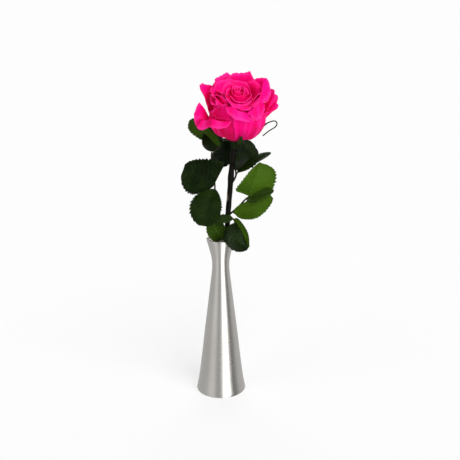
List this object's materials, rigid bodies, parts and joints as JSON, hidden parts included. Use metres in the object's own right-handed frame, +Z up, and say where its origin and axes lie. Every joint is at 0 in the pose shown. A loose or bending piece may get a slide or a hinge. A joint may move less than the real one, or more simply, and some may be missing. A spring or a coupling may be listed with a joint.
{
  "type": "preserved rose in a bud vase",
  "caption": "Preserved rose with one large open bloom and toothed compound leaves, standing in a waisted steel bud vase.",
  "frame": {"origin": "centre of the vase's flat base, on the surface it stands on", "axes": "+Z up along the vase's axis, -Y the front, which the bloom nods towards"},
  "size_m": [0.091, 0.0789, 0.3185],
  "materials": {
    "steel": "brushed stainless steel with a fine grain",
    "bark": "dark brown, softly glossy",
    "leaf": "dark green, softly glossy above, lighter and matt below",
    "sepal": "mid green, matt",
    "petal": "hot pink, velvety matt"
  },
  "bodies": {
    "root": {"vase": "steel", "stem": "bark", "leaf_left": "leaf", "leaf_back": "leaf", "leaf_right": "leaf", "leaf_low_right": "leaf", "leaf_low_left": "leaf", "calyx": "sepal", "bloom": "petal"}
  },
  "joints": []
}
